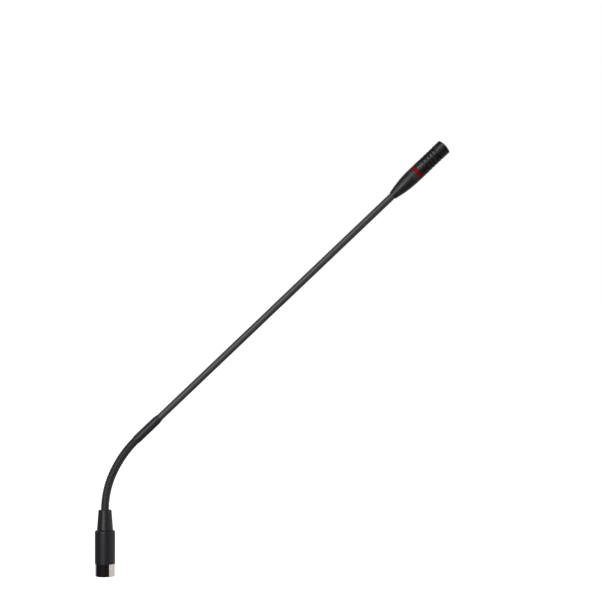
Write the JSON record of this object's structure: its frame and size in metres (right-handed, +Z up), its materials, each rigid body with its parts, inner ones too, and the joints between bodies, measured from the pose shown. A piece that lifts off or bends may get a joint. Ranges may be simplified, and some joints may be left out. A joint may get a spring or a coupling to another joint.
{
  "type": "gooseneck podium microphone",
  "caption": "Slim podium microphone: slotted head with a red light ring, long rigid stem, short flexible coiled neck and a tapered bush on a three-pin audio plug.",
  "frame": {"origin": "centre of the plug nose's lower face, where the microphone goes into its socket", "axes": "+Z up along the plug's axis, +X towards the side that the neck leans to"},
  "size_m": [0.3394, 0.0194, 0.4165],
  "materials": {
    "nickel_shell": "satin nickel plate",
    "black_insert": "moulded",
    "contact_gold": "gold plated",
    "steel_fixing": "turned",
    "black_sleeve": "satin",
    "black_bush": "satin",
    "neck_wire": "satin, coiled wire",
    "black_coupling": "satin",
    "black_stem": "fine matt",
    "black_head": "satin",
    "black_housing": "semi gloss",
    "black_grille": "satin",
    "dark_mesh": "woven",
    "red_ring": "translucent, polished",
    "led_lens": "clear lens",
    "board_green": "solder resist",
    "chip_black": "moulded",
    "capacitor_can": "drawn can",
    "capsule_can": "drawn can",
    "clear_liner": "film",
    "lead_red": "extruded",
    "cable_jacket": "matt",
    "black_rubber": "matt",
    "black_foam": "open-cell foam"
  },
  "bodies": {
    "plug_and_bush": {"xlr_shell": "nickel_shell", "xlr_insert": "black_insert", "contact_pin_1": "contact_gold", "contact_pin_2": "contact_gold", "contact_pin_3": "contact_gold", "insert_screw": "steel_fixing", "connector_sleeve": "black_sleeve", "insulating_liner": "clear_liner", "preamp_board": "board_green", "board_capacitors": "capacitor_can", "board_chips": "chip_black", "pin_leads": "lead_red", "cable_tails": "lead_red", "cable_clamp": "steel_fixing", "neck_bush": "black_bush", "bush_lock_nut": "steel_fixing", "neck_end_fitting": "steel_fixing", "neck_set_screw": "steel_fixing", "neck_coil_00": "neck_wire", "signal_cable": "cable_jacket"},
    "neck_link_01": {"neck_coil_01": "neck_wire"},
    "neck_link_02": {"neck_coil_02": "neck_wire"},
    "neck_link_03": {"neck_coil_03": "neck_wire"},
    "neck_link_04": {"neck_coil_04": "neck_wire"},
    "neck_link_05": {"neck_coil_05": "neck_wire"},
    "neck_link_06": {"neck_coil_06": "neck_wire"},
    "neck_link_07": {"neck_coil_07": "neck_wire"},
    "neck_link_08": {"neck_coil_08": "neck_wire"},
    "neck_link_09": {"neck_coil_09": "neck_wire"},
    "stem_and_head": {"neck_coil_10": "neck_wire", "tube_coupling": "black_coupling", "stem_tube": "black_stem", "tube_grommet": "black_rubber", "head_shell": "black_head", "head_set_screw": "steel_fixing", "led_board": "board_green", "led_chips": "led_lens", "led_ring": "red_ring", "capsule_housing": "black_housing", "acoustic_mesh": "dark_mesh", "end_grille": "black_grille", "foam_disc": "black_foam", "capsule": "capsule_can", "capsule_boot": "black_rubber", "capsule_terminals": "contact_gold", "head_leads": "lead_red"}
  },
  "joints": [
    {"name": "neck_bend", "type": "hinge", "parent": "plug_and_bush", "child": "neck_link_01", "pos_m": [0.00006, 0, 0.0665], "axis": [0.001, 1, 0], "range_deg": [-12, 9], "deforming": ["signal_cable"]},
    {"name": "neck_sway", "type": "hinge", "parent": "neck_link_01", "child": "neck_link_02", "pos_m": [0.00063, 0, 0.07368], "axis": [0.9926, 0, -0.1214], "range_deg": [-12, 12], "deforming": ["signal_cable"]},
    {"name": "neck_bend_2", "type": "hinge", "parent": "neck_link_02", "child": "neck_link_03", "pos_m": [0.0018, 0, 0.08077], "axis": [0.001, 1, 0], "range_deg": [-12, 9]},
    {"name": "neck_sway_2", "type": "hinge", "parent": "neck_link_03", "child": "neck_link_04", "pos_m": [0.00358, 0, 0.08775], "axis": [0.9577, 0, -0.2878], "range_deg": [-12, 12]},
    {"name": "neck_bend_3", "type": "hinge", "parent": "neck_link_04", "child": "neck_link_05", "pos_m": [0.00594, 0, 0.09455], "axis": [0.001, 1, 0], "range_deg": [-12, 9]},
    {"name": "neck_sway_3", "type": "hinge", "parent": "neck_link_05", "child": "neck_link_06", "pos_m": [0.00885, 0, 0.10113], "axis": [0.9, 0, -0.4358], "range_deg": [-12, 12]},
    {"name": "neck_bend_4", "type": "hinge", "parent": "neck_link_06", "child": "neck_link_07", "pos_m": [0.01221, 0, 0.1075], "axis": [0.001, 1, 0], "range_deg": [-12, 9]},
    {"name": "neck_sway_4", "type": "hinge", "parent": "neck_link_07", "child": "neck_link_08", "pos_m": [0.01599, 0, 0.11363], "axis": [0.8322, 0, -0.5544], "range_deg": [-12, 12]},
    {"name": "neck_bend_5", "type": "hinge", "parent": "neck_link_08", "child": "neck_link_09", "pos_m": [0.02019, 0, 0.11948], "axis": [0.001, 1, 0], "range_deg": [-12, 9]},
    {"name": "neck_sway_5", "type": "hinge", "parent": "neck_link_09", "child": "stem_and_head", "pos_m": [0.02477, 0, 0.12503], "axis": [0.7489, 0, -0.6627], "range_deg": [-12, 12]}
  ],
  "couplings": [
    {"joint": "neck_bend_2", "follows": "neck_bend", "ratio": 1},
    {"joint": "neck_sway_2", "follows": "neck_sway", "ratio": 1},
    {"joint": "neck_bend_3", "follows": "neck_bend", "ratio": 1},
    {"joint": "neck_sway_3", "follows": "neck_sway", "ratio": 1},
    {"joint": "neck_bend_4", "follows": "neck_bend", "ratio": 1},
    {"joint": "neck_sway_4", "follows": "neck_sway", "ratio": 1},
    {"joint": "neck_bend_5", "follows": "neck_bend", "ratio": 1},
    {"joint": "neck_sway_5", "follows": "neck_sway", "ratio": 1}
  ]
}
